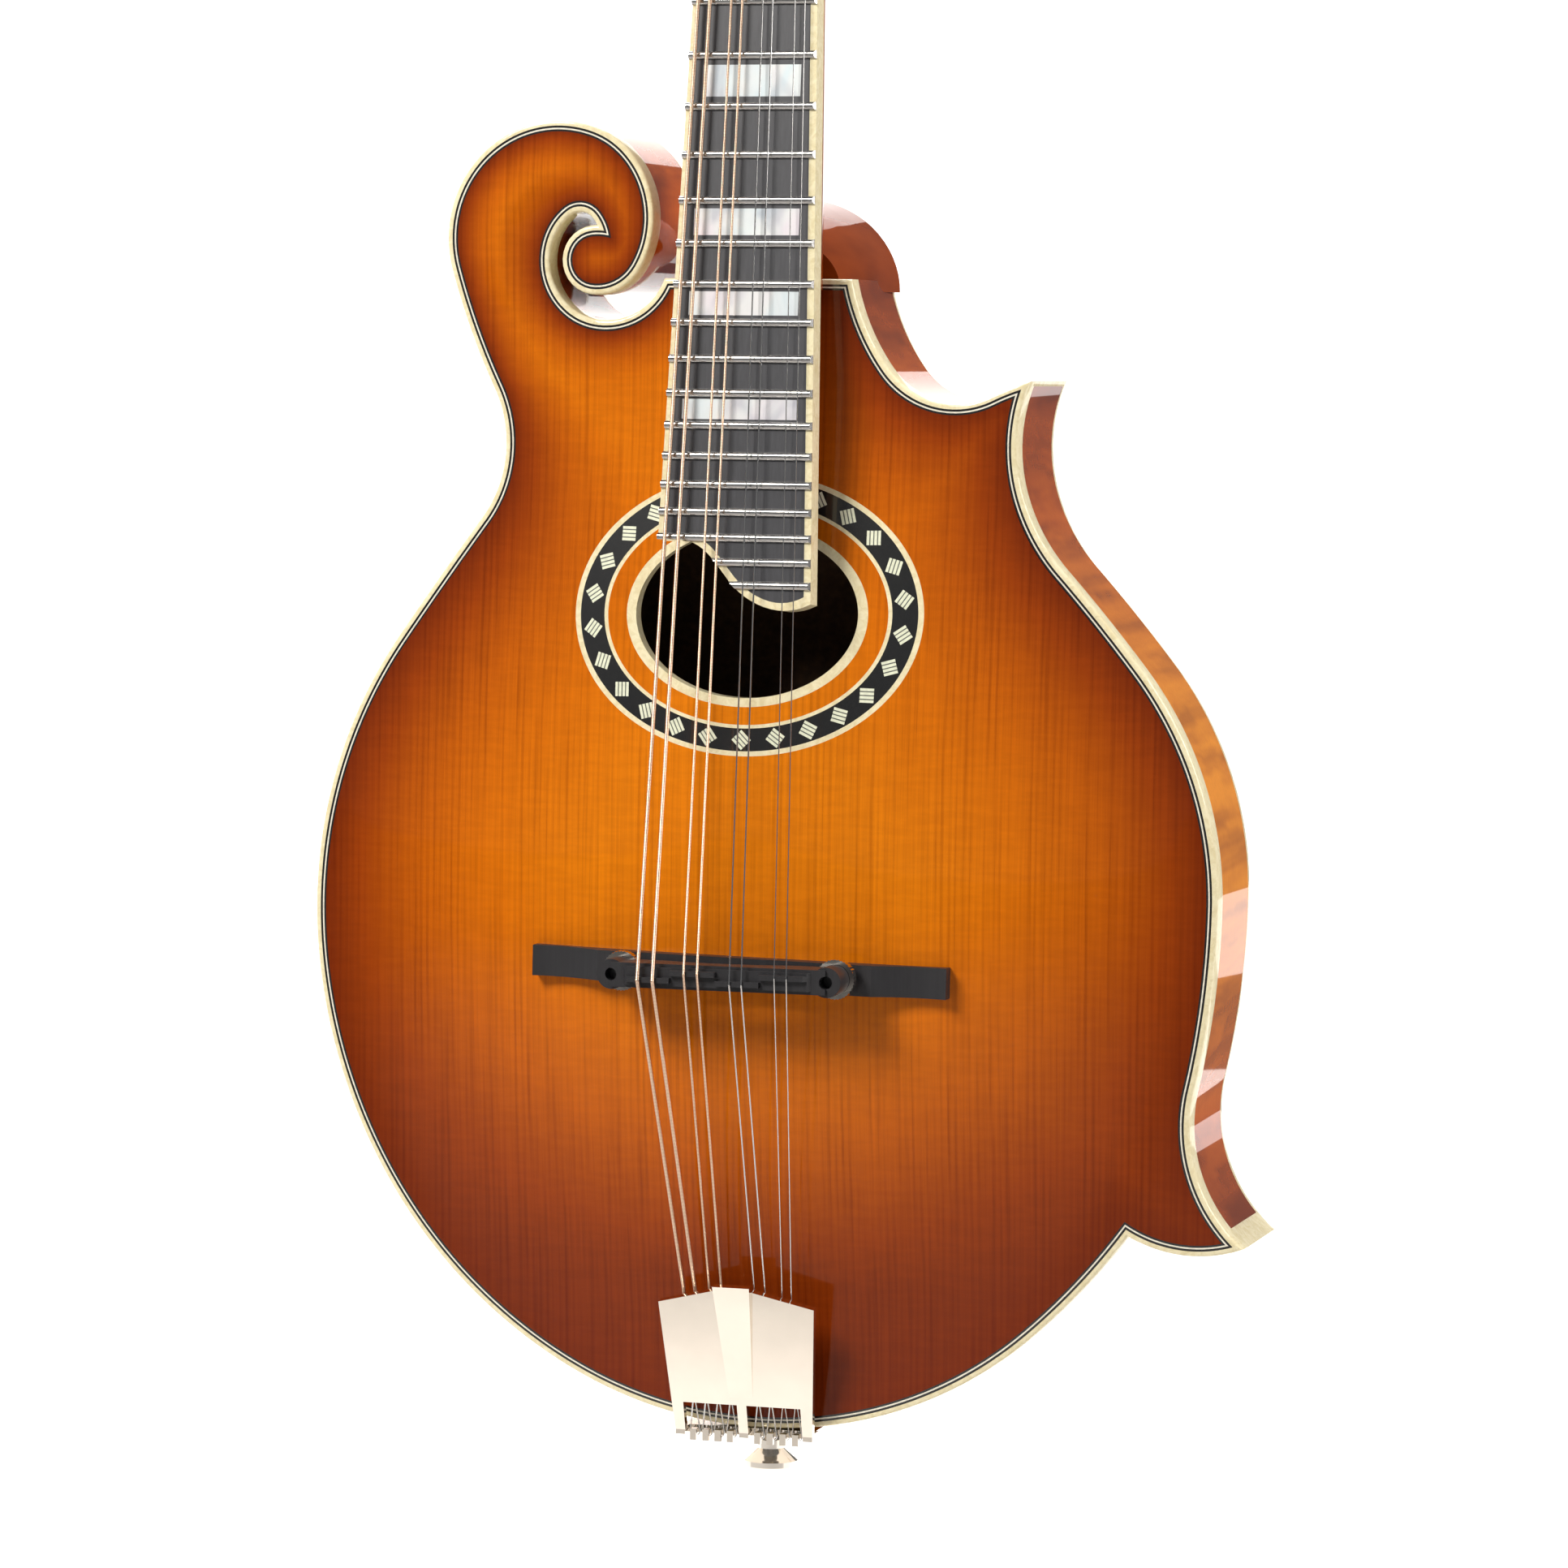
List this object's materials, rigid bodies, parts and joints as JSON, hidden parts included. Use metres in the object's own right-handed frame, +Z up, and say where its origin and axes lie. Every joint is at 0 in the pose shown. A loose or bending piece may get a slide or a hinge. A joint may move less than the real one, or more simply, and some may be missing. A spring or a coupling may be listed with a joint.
{
  "type": "mandolin",
  "caption": "Carved arch-top mandolin with a scroll and pointed body, oval soundhole, bound fretboard, adjustable bridge and cast tailpiece.",
  "frame": {"origin": "the neck_hanger mount: the middle of the neck at the nut", "axes": "+Z up the neck from the body to the headstock, -Y the playing side, -X the bass side with the scroll"},
  "size_m": [0.2534, 0.0995, 0.6231],
  "materials": {
    "top_wood": "amber sunburst gloss lacquer over straight-grained spruce",
    "back_wood": "amber sunburst gloss lacquer over flamed maple",
    "rim_wood": "amber gloss lacquer over flamed maple",
    "inner_wood": "bare spruce and maple",
    "neck_wood": "red-brown gloss lacquer over maple",
    "ivoroid": "polished cream celluloid",
    "purfling": "black, white and black lines",
    "black_band": "polished black",
    "pearl": "pearl shell",
    "ebony": "oiled ebony",
    "nickel_silver": "polished nickel silver",
    "bone": "polished bone",
    "steel": "plain steel",
    "nickel": "polished nickel plate",
    "bronze_wound": "bronze winding",
    "plain_steel": "bright steel",
    "button_pearl": "pearl-effect plastic",
    "cover_black": "gloss black"
  },
  "bodies": {
    "root": {"soundboard": "top_wood", "rosette_squares": "pearl", "rosette_band": "black_band", "rosette_rings": "ivoroid", "soundhole_binding": "ivoroid", "back_plate": "back_wood", "top_purfling": "purfling", "top_binding": "ivoroid", "back_binding": "ivoroid", "point_caps": "ivoroid", "rim": "rim_wood", "head_block": "inner_wood", "tail_block": "inner_wood", "point_blocks": "inner_wood", "top_lining": "inner_wood", "back_lining": "inner_wood", "top_braces": "inner_wood", "fretboard": "ebony", "fretboard_binding": "ivoroid", "fret_inlays": "pearl", "frets": "nickel_silver", "side_dots": "black_band", "nut": "bone", "neck": "neck_wood", "truss_rod": "steel", "neck_extension": "neck_wood", "headstock_veneer": "ebony", "headstock_binding": "ivoroid", "truss_rod_cover": "cover_black", "truss_cover_screws": "nickel", "tuner_plate_bass": "nickel", "tuner_plate_treble": "nickel", "tuner_plate_screws": "nickel", "post_bushings": "nickel", "strings_wound": "bronze_wound", "strings_plain": "plain_steel", "bridge_base": "ebony", "bridge_posts": "steel", "tailpiece": "nickel", "tailpiece_screws": "nickel", "strap_button": "nickel"},
    "key_1": {"tuner_key_1": "button_pearl"},
    "post_1": {"string_post_1": "nickel"},
    "key_2": {"tuner_key_2": "button_pearl"},
    "post_2": {"string_post_2": "nickel"},
    "key_3": {"tuner_key_3": "button_pearl"},
    "post_3": {"string_post_3": "nickel"},
    "key_4": {"tuner_key_4": "button_pearl"},
    "post_4": {"string_post_4": "nickel"},
    "key_5": {"tuner_key_5": "button_pearl"},
    "post_5": {"string_post_5": "nickel"},
    "key_6": {"tuner_key_6": "button_pearl"},
    "post_6": {"string_post_6": "nickel"},
    "key_7": {"tuner_key_7": "button_pearl"},
    "post_7": {"string_post_7": "nickel"},
    "key_8": {"tuner_key_8": "button_pearl"},
    "post_8": {"string_post_8": "nickel"},
    "saddle": {"bridge_saddle": "ebony"},
    "wheel_bass": {"thumbwheel_bass": "nickel"},
    "wheel_treble": {"thumbwheel_treble": "nickel"}
  },
  "joints": [
    {"name": "key_turn_1", "type": "hinge", "parent": "root", "child": "key_1", "pos_m": [-0.02, 0.01557, 0.01925], "axis": [-1, 0, 0], "continuous": true},
    {"name": "post_turn_1", "type": "hinge", "parent": "root", "child": "post_1", "pos_m": [-0.02, 0.00168, 0.03419], "axis": [0, 0.9418, -0.3363], "continuous": true},
    {"name": "key_turn_2", "type": "hinge", "parent": "root", "child": "key_2", "pos_m": [-0.02, 0.0233, 0.04091], "axis": [-1, 0, 0], "continuous": true},
    {"name": "post_turn_2", "type": "hinge", "parent": "root", "child": "post_2", "pos_m": [-0.02, 0.00941, 0.05585], "axis": [0, 0.9418, -0.3363], "continuous": true},
    {"name": "key_turn_3", "type": "hinge", "parent": "root", "child": "key_3", "pos_m": [-0.02, 0.03103, 0.06258], "axis": [-1, 0, 0], "continuous": true},
    {"name": "post_turn_3", "type": "hinge", "parent": "root", "child": "post_3", "pos_m": [-0.02, 0.01715, 0.07751], "axis": [0, 0.9418, -0.3363], "continuous": true},
    {"name": "key_turn_4", "type": "hinge", "parent": "root", "child": "key_4", "pos_m": [-0.02, 0.03877, 0.08424], "axis": [-1, 0, 0], "continuous": true},
    {"name": "post_turn_4", "type": "hinge", "parent": "root", "child": "post_4", "pos_m": [-0.02, 0.02488, 0.09917], "axis": [0, 0.9418, -0.3363], "continuous": true},
    {"name": "key_turn_5", "type": "hinge", "parent": "root", "child": "key_5", "pos_m": [0.02, 0.01557, 0.01925], "axis": [1, 0, 0], "continuous": true},
    {"name": "post_turn_5", "type": "hinge", "parent": "root", "child": "post_5", "pos_m": [0.02, 0.00168, 0.03419], "axis": [0, 0.9418, -0.3363], "continuous": true},
    {"name": "key_turn_6", "type": "hinge", "parent": "root", "child": "key_6", "pos_m": [0.02, 0.0233, 0.04091], "axis": [1, 0, 0], "continuous": true},
    {"name": "post_turn_6", "type": "hinge", "parent": "root", "child": "post_6", "pos_m": [0.02, 0.00941, 0.05585], "axis": [0, 0.9418, -0.3363], "continuous": true},
    {"name": "key_turn_7", "type": "hinge", "parent": "root", "child": "key_7", "pos_m": [0.02, 0.03103, 0.06258], "axis": [1, 0, 0], "continuous": true},
    {"name": "post_turn_7", "type": "hinge", "parent": "root", "child": "post_7", "pos_m": [0.02, 0.01715, 0.07751], "axis": [0, 0.9418, -0.3363], "continuous": true},
    {"name": "key_turn_8", "type": "hinge", "parent": "root", "child": "key_8", "pos_m": [0.02, 0.03877, 0.08424], "axis": [1, 0, 0], "continuous": true},
    {"name": "post_turn_8", "type": "hinge", "parent": "root", "child": "post_8", "pos_m": [0.02, 0.02488, 0.09917], "axis": [0, 0.9418, -0.3363], "continuous": true},
    {"name": "saddle_lift", "type": "slide", "parent": "root", "child": "saddle", "axis": [0, -1, 0], "range_m": [-0.0012, 0.0015], "deforming": ["strings_wound", "strings_plain"]},
    {"name": "wheel_turn_bass", "type": "hinge", "parent": "saddle", "child": "wheel_bass", "pos_m": [-0.0288, -0.03535, -0.3534], "axis": [0, -1, 0], "range_deg": [-618.14, 772.43]},
    {"name": "wheel_turn_treble", "type": "hinge", "parent": "saddle", "child": "wheel_treble", "pos_m": [0.0288, -0.03535, -0.3534], "axis": [0, -1, 0], "range_deg": [-618.14, 772.43]}
  ],
  "couplings": [
    {"joint": "post_turn_1", "follows": "key_turn_1", "ratio": -0.0625},
    {"joint": "post_turn_2", "follows": "key_turn_2", "ratio": -0.0625},
    {"joint": "post_turn_3", "follows": "key_turn_3", "ratio": -0.0625},
    {"joint": "post_turn_4", "follows": "key_turn_4", "ratio": -0.0625},
    {"joint": "post_turn_5", "follows": "key_turn_5", "ratio": 0.0625},
    {"joint": "post_turn_6", "follows": "key_turn_6", "ratio": 0.0625},
    {"joint": "post_turn_7", "follows": "key_turn_7", "ratio": 0.0625},
    {"joint": "post_turn_8", "follows": "key_turn_8", "ratio": 0.0625},
    {"joint": "wheel_turn_bass", "follows": "saddle_lift", "rad_per_m": 8976},
    {"joint": "wheel_turn_treble", "follows": "saddle_lift", "rad_per_m": 8976}
  ]
}
